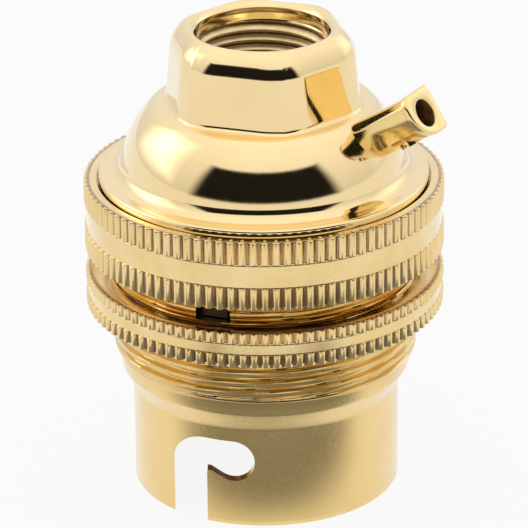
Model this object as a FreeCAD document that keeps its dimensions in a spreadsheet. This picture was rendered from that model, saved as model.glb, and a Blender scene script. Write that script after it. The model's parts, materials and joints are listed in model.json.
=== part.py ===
import FreeCAD, Part
import math
import os
import re
import Sketcher

# Bayonet lamp holder for a 22 mm lamp cap, standing on its barrel mouth.
# The origin is the centre of the mouth in the rim plane, and +Z runs up to the cable entry.
# The front is -Y. Lengths are in millimetres and angles in degrees.

os.makedirs("parts", exist_ok=True)
doc = FreeCAD.newDocument("lamp_holder")

SIZES = [
    # shell: barrel, shoulder and skirt
    ("barrel_radius", 12.4),
    ("barrel_wall", 1.0),
    ("barrel_bore_depth", 8.4),
    ("barrel_relief", 0.2),
    ("rim_chamfer", 0.12),
    ("shoulder_low", 9.75),
    ("shoulder_height", 2.0),
    ("shoulder_drop", 0.38),
    ("runout_length", 1.25),
    ("runout_step", 0.3),
    ("skirt_step", 1.4),
    ("skirt_height", 14.7),
    ("skirt_wall", 1.1),
    ("ledge_rise", 0.2),
    # bayonet slot, drawn in the plane that it is punched through
    ("slot_left", -8.54),
    ("slot_right", -5.5),
    ("slot_corner_radius", 3.0),
    ("hook_centre", -3.1),
    ("hook_level", 6.5),
    ("hook_radius", 2.0),
    ("hook_slope", 27.0),
    ("hook_tip_radius", 0.3),
    # locating notch in the top edge of the skirt
    ("notch_centre", -4.7),
    ("notch_width", 3.05),
    ("notch_depth", 6.9),
    # knurled rings
    ("thread_clearance", 0.08),
    ("ring_wall", 2.72),
    ("knurl_depth", 0.28),
    ("knurl_count", 100),
    ("knurl_groove_share", 0.42),
    ("band_depth", 0.2),
    ("ring_land", 0.35),
    ("shade_ring_rise", 4.6),
    ("shade_ring_height", 3.36),
    ("shade_knurl_low", 1.25),
    ("shade_knurl_high", 1.13),
    ("shade_ring_dish", 0.55),
    ("union_ring_lap", 4.54),
    ("union_ring_height", 6.57),
    ("union_knurl_low", 2.2),
    ("union_knurl_high", 2.22),
    ("lip_thickness", 0.83),
    ("lip_clearance", 0.25),
    # cap: flange, dome and neck
    ("flange_reach", 1.4),
    ("flange_height", 2.7),
    ("flange_edge_radius", 0.28),
    ("retainer_step", 0.5),
    ("retainer_clearance", 0.1),
    ("cap_bore_step", 0.2),
    ("cap_bore_depth", 1.2),
    ("cap_wall", 0.95),
    ("dome_fillet_radius", 0.85),
    ("flange_ledge", 2.18),
    ("dome_wall_radius", 8.43),
    ("dome_wall_low", 4.6),
    ("dome_wall_high", 43.9),
    ("dome_shoulder_radius", 2.15),
    ("neck_step", 0.52),
    ("neck_corner_radius", 4.6),
    ("neck_azimuth", 12.0),
    ("neck_draft", 4.7),
    ("neck_height", 7.59),
    ("neck_lip_radius", 3.0),
    ("neck_foot_radius", 0.45),
    ("entry_radius", 6.1),
    ("mouth_radius", 1.0),
    ("mouth_flare", 0.85),
    ("mouth_drop", 0.4),
    # earth pillar on the dome
    ("pillar_azimuth", 60.0),
    ("pillar_rise", 33.0),
    ("pillar_seat_angle", 35.5),
    ("pillar_length", 6.26),
    ("pillar_width", 4.4),
    ("pillar_depth", 4.1),
    ("pillar_sunk", 0.85),
    ("pillar_corner_radius", 0.3),
    ("pillar_round_radius", 2.8),
    ("pillar_collar_length", 0.55),
    ("pillar_collar_step", 0.1),
    ("pillar_hole_radius", 1.28),
    ("pillar_hole_depth", 4.9),
    ("spigot_radius", 1.3),
    ("rivet_radius", 1.6),
    ("rivet_height", 0.6),
    ("earth_washer_radius", 1.75),
    ("earth_washer_thickness", 0.5),
    ("earth_washer_stand", 0.5),
    ("clamp_screw_radius", 1.0),
    ("clamp_screw_place", 3.3),
    # insulating interior, turned so that its contacts lie across the seated lamp pins
    ("interior_turn", -14.5),
    ("interior_clearance", 0.15),
    ("base_height", 8.0),
    ("interior_drop", 0.4),
    ("boss_height", 3.9),
    ("boss_step", 1.25),
    ("key_width", 2.3),
    ("key_reach", 0.6),
    ("key_azimuth", -5.5),
    ("contact_spacing", 11.0),
    # plungers and their springs
    ("running_clearance", 0.05),
    ("plunger_radius", 1.7),
    ("plunger_tip_stand", 0.2),
    ("plunger_tip_chamfer", 0.35),
    ("plunger_head_radius", 2.5),
    ("plunger_head_height", 1.0),
    ("plunger_stem_radius", 1.1),
    ("plunger_stem_height", 2.5),
    ("plunger_shoulder", 2.5),
    ("spring_wire_radius", 0.25),
    ("spring_coil_radius", 1.8),
    ("spring_turns", 6.0),
    # terminals
    ("terminal_length", 5.8),
    ("terminal_width", 5.8),
    ("terminal_floor_height", 2.0),
    ("terminal_drop", 0.2),
    ("terminal_gap", 0.1),
    ("wire_hole_radius", 1.2),
    ("wire_hole_inset", 1.9),
    ("wire_hole_depth", 4.6),
    ("terminal_screw_radius", 1.25),
    ("terminal_screw_drop", 1.7),
    ("terminal_head_radius", 1.8),
    ("terminal_head_height", 1.4),
    ("terminal_head_stand", 0.3),
    ("driver_slot_width", 0.5),
    ("driver_slot_depth", 0.6),
    # screw, washer and nut that hold the two halves of the interior together
    ("joining_screw_radius", 1.25),
    ("joining_head_radius", 2.3),
    ("joining_head_height", 1.3),
    ("joining_head_recess", 1.6),
    ("trough_width", 6.0),
    ("trough_rise", 1.0),
    ("lock_washer_radius", 2.4),
    ("lock_washer_thickness", 0.5),
    ("nut_width", 4.5),
    ("nut_height", 1.6),
    ("screw_stick_out", 0.4),
    # how far a cutting tool runs past what it cuts
    ("overcut", 1.0),
]

# Places that follow from the sizes, as formulas in a second sheet.
PLACES = [
    ("barrel_bore_radius", "barrel_radius - barrel_wall"),
    ("relief_radius", "barrel_bore_radius + barrel_relief"),
    ("skirt_radius", "barrel_radius + skirt_step"),
    ("skirt_bore_radius", "skirt_radius - skirt_wall"),
    ("shoulder_high", "shoulder_low + shoulder_height"),
    ("shoulder_reach", "skirt_radius - shoulder_drop"),
    ("runout_radius", "skirt_radius - runout_step"),
    ("runout_level", "shoulder_high + runout_length"),
    ("skirt_start", "runout_level + runout_step"),
    ("skirt_top", "skirt_start + skirt_height"),
    ("ledge_level", "runout_level + ledge_rise"),
    ("rim_flat_radius", "barrel_radius - rim_chamfer"),
    ("below_rim", "-overcut"),
    ("slot_top", "hook_level + hook_radius"),
    ("slot_corner_low", "slot_top - slot_corner_radius"),
    ("slot_corner_end", "slot_left + slot_corner_radius"),
    ("hook_end", "hook_centre + hook_radius"),
    ("hook_foot_x", "hook_centre - hook_radius * sin(hook_slope)"),
    ("hook_foot_z", "hook_level - hook_radius * cos(hook_slope)"),
    ("hook_tip_z", "hook_foot_z + (hook_foot_x - slot_right) * tan(hook_slope)"),
    ("hook_tip_run", "hook_tip_radius / tan((90 - hook_slope) / 2)"),
    ("hook_tip_x", "slot_right + hook_tip_run * cos(hook_slope)"),
    ("hook_tip_high", "hook_tip_z - hook_tip_run * sin(hook_slope)"),
    ("hook_tip_low", "hook_tip_z - hook_tip_run"),
    ("notch_bottom", "skirt_top - notch_depth"),
    ("notch_left", "notch_centre - notch_width / 2"),
    ("notch_right", "notch_centre + notch_width / 2"),
    ("above_skirt", "skirt_top + overcut"),
    ("ring_bore", "skirt_radius + thread_clearance"),
    ("ring_radius", "ring_bore + ring_wall"),
    ("ring_root", "ring_radius - knurl_depth"),
    ("ring_band", "ring_radius - band_depth"),
    ("land_radius", "ring_root - ring_land"),
    ("shade_ring_bottom", "skirt_start + shade_ring_rise"),
    ("shade_ring_top", "shade_ring_bottom + shade_ring_height"),
    ("below_shade_ring", "shade_ring_bottom - overcut"),
    ("above_shade_ring", "shade_ring_top + overcut"),
    ("shade_band_low", "shade_ring_bottom + shade_knurl_low"),
    ("shade_band_high", "shade_ring_top - shade_knurl_high"),
    ("shade_dish_level", "shade_ring_top - shade_ring_dish"),
    ("union_ring_bottom", "skirt_top - union_ring_lap"),
    ("union_ring_top", "union_ring_bottom + union_ring_height"),
    ("below_union_ring", "union_ring_bottom - overcut"),
    ("above_union_ring", "union_ring_top + overcut"),
    ("union_band_low", "union_ring_bottom + union_knurl_low"),
    ("union_band_high", "union_ring_top - union_knurl_high"),
    ("flange_radius", "skirt_radius + flange_reach"),
    ("flange_top", "skirt_top + flange_height"),
    ("cap_bore_radius", "skirt_bore_radius + cap_bore_step"),
    ("dome_base_radius", "flange_radius - flange_ledge"),
    ("lip_radius", "flange_radius + lip_clearance"),
    ("lip_level", "union_ring_top - lip_thickness"),
    ("retainer_radius", "flange_radius + retainer_step"),
    ("retainer_top", "lip_level - retainer_clearance"),
    ("pocket_radius", "retainer_radius + retainer_clearance"),
    ("pocket_floor", "skirt_top - retainer_clearance"),
    ("flange_edge_low", "flange_top - flange_edge_radius"),
    ("flange_edge_in", "flange_radius - flange_edge_radius"),
    ("cap_step", "skirt_top + cap_bore_depth"),
    ("fillet_foot", "dome_base_radius + dome_fillet_radius * cos(dome_wall_low)"),
    ("wall_low_z", "flange_top + dome_fillet_radius * (1 - sin(dome_wall_low))"),
    ("wall_centre_x", "dome_base_radius - dome_wall_radius * cos(dome_wall_low)"),
    ("wall_centre_z", "wall_low_z - dome_wall_radius * sin(dome_wall_low)"),
    ("wall_high_x", "wall_centre_x + dome_wall_radius * cos(dome_wall_high)"),
    ("wall_high_z", "wall_centre_z + dome_wall_radius * sin(dome_wall_high)"),
    ("shoulder_offset", "dome_wall_radius - dome_shoulder_radius"),
    ("crown_edge", "wall_centre_x + shoulder_offset * cos(dome_wall_high)"),
    ("shoulder_centre_z", "wall_centre_z + shoulder_offset * sin(dome_wall_high)"),
    ("crown", "shoulder_centre_z + dome_shoulder_radius"),
    ("inner_wall_radius", "dome_wall_radius - cap_wall"),
    ("inner_shoulder_radius", "dome_shoulder_radius - cap_wall"),
    ("inner_low_x", "wall_centre_x + inner_wall_radius * cos(dome_wall_low)"),
    ("inner_low_z", "wall_centre_z + inner_wall_radius * sin(dome_wall_low)"),
    ("inner_high_x", "wall_centre_x + inner_wall_radius * cos(dome_wall_high)"),
    ("inner_high_z", "wall_centre_z + inner_wall_radius * sin(dome_wall_high)"),
    ("ceiling", "crown - cap_wall"),
    ("neck_flat", "crown_edge - neck_step"),
    ("neck_top", "crown + neck_height"),
    ("mouth_crest", "entry_radius + mouth_flare"),
    ("mouth_crest_level", "neck_top - mouth_drop"),
    ("mouth_centre_z", "mouth_crest_level - mouth_radius"),
    ("mouth_level", "mouth_centre_z + sqrt(mouth_radius ^ 2 - (mouth_crest - entry_radius) ^ 2)"),
    ("above_mouth", "neck_top + overcut"),
    ("seat_radius", "wall_centre_x + dome_wall_radius * cos(pillar_seat_angle)"),
    ("seat_z", "wall_centre_z + dome_wall_radius * sin(pillar_seat_angle)"),
    ("bar_side", "pillar_width / 2"),
    ("bar_back", "pillar_depth / 2"),
    ("bar_side_in", "bar_side - pillar_corner_radius"),
    ("bar_back_in", "bar_back - pillar_corner_radius"),
    ("bar_side_round", "bar_side - pillar_round_radius"),
    ("bar_back_round", "bar_back - pillar_round_radius"),
    ("collar_side", "bar_side + pillar_collar_step"),
    ("collar_back", "bar_back + pillar_collar_step"),
    ("collar_side_in", "collar_side - pillar_corner_radius"),
    ("collar_back_in", "collar_back - pillar_corner_radius"),
    ("collar_side_round", "collar_side - pillar_round_radius"),
    ("collar_back_round", "collar_back - pillar_round_radius"),
    ("earth_washer_low", "cap_wall + earth_washer_stand + earth_washer_thickness"),
    ("rivet_low", "earth_washer_low + rivet_height"),
    ("clamp_screw_length", "bar_back - pillar_hole_radius"),
    ("clamp_slot_width", "driver_slot_width / 2"),
    ("clamp_slot_depth", "driver_slot_depth / 2"),
    ("interior_radius", "skirt_bore_radius - interior_clearance"),
    ("interior_boss_radius", "interior_radius - boss_step"),
    ("interior_split", "ledge_level + base_height"),
    ("interior_step", "skirt_top - interior_drop"),
    ("interior_top_level", "interior_step + boss_height"),
    ("contact_x", "contact_spacing / 2"),
    ("plunger_seat", "ledge_level + plunger_shoulder"),
    ("plunger_head_top", "plunger_seat + plunger_head_height"),
    ("plunger_stem_top", "plunger_head_top + plunger_stem_height"),
    ("plunger_tip_level", "barrel_bore_depth + plunger_tip_stand"),
    ("plunger_tip_high", "plunger_tip_level + plunger_tip_chamfer"),
    ("plunger_tip_radius", "plunger_radius - plunger_tip_chamfer"),
    ("spring_low", "plunger_head_top + spring_wire_radius"),
    ("spring_height", "terminal_floor - plunger_head_top - 2 * spring_wire_radius"),
    ("well_radius", "plunger_head_radius + running_clearance"),
    ("terminal_inner", "trough_width / 2 + terminal_gap"),
    ("terminal_outer", "terminal_inner + terminal_length"),
    ("terminal_middle", "(terminal_outer + terminal_inner) / 2"),
    ("terminal_floor", "interior_split + terminal_floor_height"),
    ("terminal_top", "interior_top_level - terminal_drop"),
    ("terminal_screw_level", "terminal_top - terminal_screw_drop"),
    ("wire_hole_place", "terminal_inner + wire_hole_inset"),
    ("head_in", "terminal_outer + terminal_head_stand"),
    ("head_out", "head_in + terminal_head_height"),
    ("joining_hole_radius", "joining_screw_radius + running_clearance"),
    ("joining_seat", "ledge_level + joining_head_recess"),
    ("trough_level", "interior_step + trough_rise"),
    ("nut_low", "trough_level + lock_washer_thickness"),
    ("nut_top", "nut_low + nut_height"),
    ("joining_top", "nut_top + screw_stick_out"),
]

NECK_SIDES = 6
GROOVE_OVERCUT = 1.6
FUNCTIONS = ("sin", "cos", "tan", "sqrt")
SIZE_NAMES = [name for name, number in SIZES]


def neck_corner_rows():
    """Corners of the hexagon that the rounded neck is drawn from."""
    rows = [("neck_reach", "neck_flat / cos(180 / %d)" % NECK_SIDES)]
    for side in range(NECK_SIDES):
        angle = "(neck_azimuth + %d * 360 / %d)" % (side, NECK_SIDES)
        rows.append(("neck_x_%d" % side, "neck_reach * sin(%s)" % angle))
        rows.append(("neck_y_%d" % side, "-neck_reach * cos(%s)" % angle))
    return rows


def bound(text, own=None):
    """An expression with each size or place written with the sheet that holds it."""
    def with_sheet(found):
        word = found.group(0)
        if word in FUNCTIONS:
            return word
        sheet = "Sizes" if word in SIZE_NAMES else "Places"
        return word if sheet == own else sheet + "." + word
    return re.sub(r"[a-z][a-z_0-9]*", with_sheet, text)


def add_sheet(name, rows):
    """A spreadsheet with a name in column A and its aliased cell in column B."""
    sheet = doc.addObject("Spreadsheet::Sheet", name)
    for row, (alias, content) in enumerate(rows, 1):
        sheet.set("A%d" % row, alias)
        sheet.set("B%d" % row, content)
        sheet.setAlias("B%d" % row, alias)
    return sheet


sizes = add_sheet("Sizes", [(name, str(number)) for name, number in SIZES])
doc.recompute()
places = add_sheet("Places", [(name, "=" + bound(formula, "Places"))
                              for name, formula in PLACES + neck_corner_rows()])
doc.recompute()


def number(text):
    """The value of one named size or place, with an optional minus sign."""
    word = text.lstrip("-")
    if word == "0":
        return 0.0
    sheet = sizes if word in SIZE_NAMES else places
    value = float(sheet.get(word))
    return -value if text.startswith("-") else value


def bind(item, **settings):
    """Bind properties of an object to expressions."""
    for name, text in settings.items():
        item.setExpression(name.replace("__", "."), bound(text))
    return item


def place(item, x="0", y="0", z="0"):
    """Bind an object's position."""
    return bind(item, Placement__Base__x=x, Placement__Base__y=y, Placement__Base__z=z)


def turn(item, x="0", y="0", z="0", about_z="0", about_x="0"):
    """Bind an object's whole placement: turned about X, then about Z, then moved."""
    parts = tuple(bound(text) for text in (x, y, z, about_z, about_x))
    item.setExpression("Placement", "create(<<placement>>; create(<<vector>>; %s; %s; %s); "
                       "create(<<rotation>>; %s; 0; %s))" % parts)
    return item


def new_body(name):
    body = doc.addObject("PartDesign::Body", name)
    body.Label = name
    return body


def origin(body, role):
    """An origin plane or axis of a body, by its role."""
    return [item for item in body.Origin.OriginFeatures if item.Role == role][0]


def arc(first, last, radius, side):
    """The shorter arc between two points. A side of 1 turns anticlockwise and -1 clockwise."""
    chord = last - first
    half = chord.Length / 2
    rise = math.sqrt(max(radius ** 2 - half ** 2, 0.0))
    across = FreeCAD.Vector(-chord.y, chord.x, 0).normalize() * rise * side
    centre = (first + last) * 0.5 + across
    angles = [math.atan2(point.y - centre.y, point.x - centre.x) for point in (first, last)]
    start, end = angles if side > 0 else reversed(angles)
    if end < start:
        end += 2 * math.pi
    return Part.ArcOfCircle(Part.Circle(centre, FreeCAD.Vector(0, 0, 1), radius), start, end)


def fix_point(sketch, item, end, corner):
    """Hold one end of a line or arc at the named coordinates."""
    for kind, axis, text in (("DistanceX", -2, corner[0]), ("DistanceY", -1, corner[1])):
        if text == "0":
            sketch.addConstraint(Sketcher.Constraint("PointOnObject", item, end, axis))
            continue
        made = sketch.addConstraint(Sketcher.Constraint(kind, -1, 1, item, end, number(text)))
        sketch.setExpression("Constraints[%d]" % made, bound(text))


def outline(body, name, role, corners, level=None):
    """A closed sketch through named corners.

    A corner is (x, y), or (x, y, radius, side) where an arc leads to the next corner.
    """
    sketch = body.newObject("Sketcher::SketchObject", name)
    sketch.AttachmentSupport = [(origin(body, role), "")]
    sketch.MapMode = "FlatFace"
    if level:
        sketch.setExpression("AttachmentOffset.Base.z", bound(level))
    points = [FreeCAD.Vector(number(corner[0]), number(corner[1]), 0) for corner in corners]
    ends = []
    for index, corner in enumerate(corners):
        first, last = points[index], points[(index + 1) % len(corners)]
        if len(corner) == 2:
            sketch.addGeometry(Part.LineSegment(first, last))
            ends.append((1, 2))
        else:
            sketch.addGeometry(arc(first, last, number(corner[2]), corner[3]))
            ends.append((1, 2) if corner[3] > 0 else (2, 1))
    for index, corner in enumerate(corners):
        after = (index + 1) % len(corners)
        sketch.addConstraint(Sketcher.Constraint(
            "Coincident", index, ends[index][1], after, ends[after][0]))
        fix_point(sketch, index, ends[index][0], corner)
        if len(corner) > 2:
            made = sketch.addConstraint(
                Sketcher.Constraint("Radius", index, number(corner[2])))
            sketch.setExpression("Constraints[%d]" % made, bound(corner[2]))
    return sketch


def revolve(body, name, corners):
    """A solid turned about Z from an outline in the XZ plane."""
    sketch = outline(body, name + "_outline", "XZ_Plane", corners)
    turned = body.newObject("PartDesign::Revolution", name)
    turned.Profile = sketch
    turned.ReferenceAxis = (sketch, ["V_Axis"])
    turned.Angle = 360.0
    body.Tip = turned
    return turned


def pad(body, name, sketch, length, **settings):
    """A solid raised from a sketch."""
    raised = body.newObject("PartDesign::Pad", name)
    raised.Profile = sketch
    bind(raised, Length=length, **settings)
    body.Tip = raised
    return raised


def pocket(body, name, sketch, length, forward=False):
    """A cut driven from a sketch, forward along its normal or back."""
    cut = body.newObject("PartDesign::Pocket", name)
    cut.Profile = sketch
    cut.Reversed = forward
    bind(cut, Length=length)
    body.Tip = cut
    return cut


def twice_round(body, name, feature):
    """Repeat a feature on the opposite side of the Z axis."""
    pattern = body.newObject("PartDesign::PolarPattern", name)
    pattern.Originals = [feature]
    pattern.Axis = (origin(body, "Z_Axis"), [""])
    pattern.Angle = 360.0
    pattern.Occurrences = 2
    body.Tip = pattern
    return pattern


def edges_where(shape, test):
    """Names of the edges that pass a test."""
    return ["Edge%d" % (index + 1) for index, edge in enumerate(shape.Edges) if test(edge)]


def cylinder(name, radius, height, **where):
    item = doc.addObject("Part::Cylinder", name)
    bind(item, Radius=radius, Height=height)
    return place(item, **where)


def box(name, low, high):
    """A box between two corners given as expressions."""
    item = doc.addObject("Part::Box", name)
    spans = ["(%s) - (%s)" % pair for pair in zip(high, low)]
    bind(item, Length=spans[0], Width=spans[1], Height=spans[2])
    return place(item, *low)


def fuse(name, items):
    joined = doc.addObject("Part::MultiFuse", name)
    joined.Shapes = items
    joined.Label = name
    return joined


def cut(name, base, tools):
    """A base with one or more tools taken away."""
    result = doc.addObject("Part::Cut", name)
    result.Base = base
    result.Tool = tools[0] if len(tools) == 1 else fuse(name + "_tools", tools)
    result.Label = name
    return result


def barrel_shell():
    """Drawn brass shell: barrel, shoulder and threaded skirt, with its slots and notches."""
    body = new_body("barrel_shell")
    revolve(body, "shell_wall", [
        ("barrel_bore_radius", "0"),
        ("rim_flat_radius", "0"),
        ("barrel_radius", "rim_chamfer"),
        ("barrel_radius", "shoulder_low"),
        ("shoulder_reach", "shoulder_high"),
        ("runout_radius", "runout_level"),
        ("skirt_radius", "skirt_start"),
        ("skirt_radius", "skirt_top"),
        ("skirt_bore_radius", "skirt_top"),
        ("skirt_bore_radius", "ledge_level"),
        ("relief_radius", "ledge_level"),
        ("relief_radius", "barrel_bore_depth"),
        ("barrel_bore_radius", "barrel_bore_depth"),
    ])
    slot = outline(body, "slot_outline", "XZ_Plane", [
        ("slot_left", "below_rim"),
        ("slot_left", "slot_corner_low", "slot_corner_radius", -1),
        ("slot_corner_end", "slot_top"),
        ("hook_centre", "slot_top", "hook_radius", -1),
        ("hook_end", "hook_level", "hook_radius", -1),
        ("hook_foot_x", "hook_foot_z"),
        ("hook_tip_x", "hook_tip_high", "hook_tip_radius", 1),
        ("slot_right", "hook_tip_low"),
        ("slot_right", "below_rim"),
    ])
    slot_cut = pocket(body, "slot_cut", slot, "barrel_radius + overcut", forward=True)
    twice_round(body, "slot_pair", slot_cut)
    notch = outline(body, "notch_outline", "XZ_Plane", [
        ("notch_left", "notch_bottom"),
        ("notch_right", "notch_bottom"),
        ("notch_right", "above_skirt"),
        ("notch_left", "above_skirt"),
    ])
    notch_cut = pocket(body, "notch_cut", notch, "skirt_radius + overcut", forward=True)
    twice_round(body, "notch_pair", notch_cut)
    return body


def knurl_grooves(name, low, high):
    """The V grooves of a straight knurl, as one tool with all its wedges."""
    crest, root = number("ring_radius"), number("ring_root")
    step = 2 * math.pi / number("knurl_count")
    reach = number("knurl_groove_share") * step / 2 * GROOVE_OVERCUT
    deep = crest - root
    wedges = []
    for groove in range(int(number("knurl_count"))):
        middle = groove * step
        corners = [FreeCAD.Vector(radius * math.cos(angle), radius * math.sin(angle), 0)
                   for angle, radius in ((middle, root),
                                         (middle + reach, root + deep * GROOVE_OVERCUT),
                                         (middle - reach, root + deep * GROOVE_OVERCUT))]
        face = Part.Face(Part.makePolygon(corners + corners[:1]))
        wedges.append(face.extrude(FreeCAD.Vector(0, 0, number(high) - number(low))))
    tool = doc.addObject("Part::Feature", name)
    tool.Shape = Part.makeCompound(wedges)
    return place(tool, z=low)


def shade_ring():
    """Knurled ring on the skirt thread that clamps a shade from below."""
    body = new_body("shade_ring_core")
    revolve(body, "shade_ring_turning", [
        ("ring_bore", "shade_ring_bottom"),
        ("ring_radius", "shade_ring_bottom"),
        ("ring_radius", "shade_band_low"),
        ("ring_band", "shade_band_low"),
        ("ring_band", "shade_band_high"),
        ("ring_radius", "shade_band_high"),
        ("ring_radius", "shade_ring_top"),
        ("land_radius", "shade_ring_top"),
        ("ring_bore", "shade_dish_level"),
    ])
    grooves = [knurl_grooves("shade_grooves_low", "below_shade_ring", "shade_band_low"),
               knurl_grooves("shade_grooves_high", "shade_band_high", "above_shade_ring")]
    return cut("shade_ring", body, grooves)


def union_ring():
    """Knurled ring that traps the cap's flange and screws it down on the skirt."""
    body = new_body("union_ring_core")
    revolve(body, "union_ring_turning", [
        ("ring_bore", "union_ring_bottom"),
        ("ring_radius", "union_ring_bottom"),
        ("ring_radius", "union_band_low"),
        ("ring_band", "union_band_low"),
        ("ring_band", "union_band_high"),
        ("ring_radius", "union_band_high"),
        ("ring_radius", "union_ring_top"),
        ("lip_radius", "union_ring_top"),
        ("lip_radius", "lip_level"),
        ("pocket_radius", "lip_level"),
        ("pocket_radius", "pocket_floor"),
        ("ring_bore", "pocket_floor"),
    ])
    grooves = [knurl_grooves("union_grooves_low", "below_union_ring", "union_band_low"),
               knurl_grooves("union_grooves_high", "union_band_high", "above_union_ring")]
    return cut("union_ring", body, grooves)


def dome_blank():
    """Flange and hollow dome of the cap, before its neck and holes."""
    body = new_body("dome_blank")
    revolve(body, "dome_wall", [
        ("cap_bore_radius", "skirt_top"),
        ("retainer_radius", "skirt_top"),
        ("retainer_radius", "retainer_top"),
        ("flange_radius", "retainer_top"),
        ("flange_radius", "flange_edge_low", "flange_edge_radius", 1),
        ("flange_edge_in", "flange_top"),
        ("fillet_foot", "flange_top", "dome_fillet_radius", -1),
        ("dome_base_radius", "wall_low_z", "dome_wall_radius", 1),
        ("wall_high_x", "wall_high_z", "dome_shoulder_radius", 1),
        ("crown_edge", "crown"),
        ("0", "crown"),
        ("0", "ceiling"),
        ("crown_edge", "ceiling", "inner_shoulder_radius", -1),
        ("inner_high_x", "inner_high_z", "inner_wall_radius", -1),
        ("inner_low_x", "inner_low_z"),
        ("inner_low_x", "cap_step"),
        ("cap_bore_radius", "cap_step"),
    ])
    return body


def neck_blank():
    """Hexagonal neck with well rounded corners, drafted inwards, with a broad rounded lip."""
    body = new_body("neck_blank")
    corners = [("neck_x_%d" % side, "neck_y_%d" % side) for side in range(NECK_SIDES)]
    sketch = outline(body, "neck_outline", "XY_Plane", corners, level="ceiling")
    prism = pad(body, "neck_prism", sketch, "neck_top - ceiling", TaperAngle="-neck_draft")
    doc.recompute()
    prism_top = number("neck_top")

    def upright(edge):
        return abs(edge.Vertexes[0].Z - edge.Vertexes[-1].Z) > 1

    corner_round = body.newObject("PartDesign::Fillet", "neck_corner_round")
    corner_round.Base = (prism, edges_where(prism.Shape, upright))
    bind(corner_round, Radius="neck_corner_radius")
    body.Tip = corner_round
    doc.recompute()

    def at_top(edge):
        return edge.BoundBox.ZMin > prism_top - 0.01

    lip_round = body.newObject("PartDesign::Fillet", "neck_lip_round")
    lip_round.Base = (corner_round, edges_where(corner_round.Shape, at_top))
    bind(lip_round, Radius="neck_lip_radius")
    body.Tip = lip_round
    doc.recompute()
    return body


def mouth_tool():
    """What is turned out of the neck: the entry bore and the rounding of its mouth."""
    body = new_body("mouth_tool")
    revolve(body, "mouth_turning", [
        ("0", "cap_step"),
        ("entry_radius", "cap_step"),
        ("entry_radius", "mouth_level", "mouth_radius", -1),
        ("mouth_crest", "mouth_crest_level"),
        ("mouth_crest", "above_mouth"),
        ("0", "above_mouth"),
    ])
    return body


def cap_blank():
    """Dome and neck in one, with the foot of the neck rounded."""
    whole = fuse("cap_fused", [dome_blank(), neck_blank()])
    doc.recompute()
    crown = number("crown")
    reach = number("neck_reach")

    def at_foot(edge):
        near = abs(edge.BoundBox.ZMin - crown) < 0.1 and abs(edge.BoundBox.ZMax - crown) < 0.1
        return near and edge.BoundBox.DiagonalLength < reach * 1.5

    foot = doc.addObject("Part::Fillet", "cap_foot_round")
    foot.Base = whole
    radius = number("neck_foot_radius")
    foot.Edges = [(int(name[4:]), radius, radius) for name in edges_where(whole.Shape, at_foot)]
    return foot


def pillar_section(body, name, kind):
    """The pillar's section: three nearly square corners and one well rounded corner."""
    side, back, side_in, back_in, side_round, back_round = [
        "%s_%s" % (kind, word) for word in
        ("side", "back", "side_in", "back_in", "side_round", "back_round")]
    tight, broad = "pillar_corner_radius", "pillar_round_radius"
    return outline(body, name, "XY_Plane", [
        (side, "-" + back_in),
        (side, back_in, tight, 1),
        (side_in, back),
        ("-" + side_in, back, tight, 1),
        ("-" + side, back_in),
        ("-" + side, "-" + back_round, broad, 1),
        ("-" + side_round, "-" + back),
        (side_in, "-" + back, tight, 1),
    ])


def pillar_frame(item, along="0"):
    """Put an object in the pillar's frame: Z along its axis, from a distance along it."""
    reach = "(seat_radius + (%s) * cos(pillar_rise))" % along
    return turn(item,
                x=reach + " * sin(pillar_azimuth)",
                y="-" + reach + " * cos(pillar_azimuth)",
                z="seat_z + (%s) * sin(pillar_rise)" % along,
                about_z="pillar_azimuth", about_x="90 - pillar_rise")


def pillar_cylinder(name, radius, low, high):
    """A round piece on the pillar's axis between two distances from the dome."""
    item = doc.addObject("Part::Cylinder", name)
    bind(item, Radius=radius, Height="(%s) - (%s)" % (high, low))
    return pillar_frame(item, low)


def across_pillar(item, low):
    """Lay an upright piece across the pillar, from a distance below its axis upwards."""
    reach = ("(seat_radius + clamp_screw_place * cos(pillar_rise) - (%s) * sin(pillar_rise))"
             % low)
    return turn(item,
                x=reach + " * sin(pillar_azimuth)",
                y="-" + reach + " * cos(pillar_azimuth)",
                z="seat_z + clamp_screw_place * sin(pillar_rise) + (%s) * cos(pillar_rise)" % low,
                about_z="pillar_azimuth", about_x="-pillar_rise")


def cap_dome(blank):
    """Polished brass cap, with its entry bored and the hole for the earth pillar."""
    spigot_hole = pillar_cylinder("spigot_hole", "spigot_radius + running_clearance",
                                  "-2 * cap_wall", "overcut")
    return cut("cap_dome", blank, [mouth_tool(), spigot_hole])


def earth_pillar(blank):
    """Brass pillar with flats, riveted through the dome, with its wire hole."""
    body = new_body("pillar_bar")
    sketch = pillar_section(body, "pillar_bar_section", "bar")
    bind(sketch, AttachmentOffset__Base__z="-pillar_sunk")
    pad(body, "pillar_bar_pad", sketch, "pillar_length + pillar_sunk")
    collar = pillar_section(body, "pillar_collar_section", "collar")
    bind(collar, AttachmentOffset__Base__z="pillar_length - pillar_collar_length")
    pad(body, "pillar_collar_pad", collar, "pillar_collar_length")
    pillar_frame(body)
    seated = cut("pillar_seated", body, [blank])
    spigot = pillar_cylinder("pillar_spigot", "spigot_radius", "-earth_washer_low", "spigot_radius")
    rivet = pillar_cylinder("pillar_rivet", "rivet_radius", "-rivet_low", "-earth_washer_low")
    wire_hole = pillar_cylinder("pillar_wire_hole", "pillar_hole_radius",
                                "pillar_length - pillar_hole_depth", "pillar_length + overcut")
    screw_hole = doc.addObject("Part::Cylinder", "pillar_screw_hole")
    bind(screw_hole, Radius="clamp_screw_radius + running_clearance",
         Height="bar_back + overcut")
    across_pillar(screw_hole, "-(bar_back + overcut)")
    return cut("earth_pillar", fuse("pillar_solid", [seated, spigot, rivet]),
               [wire_hole, screw_hole])


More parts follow.
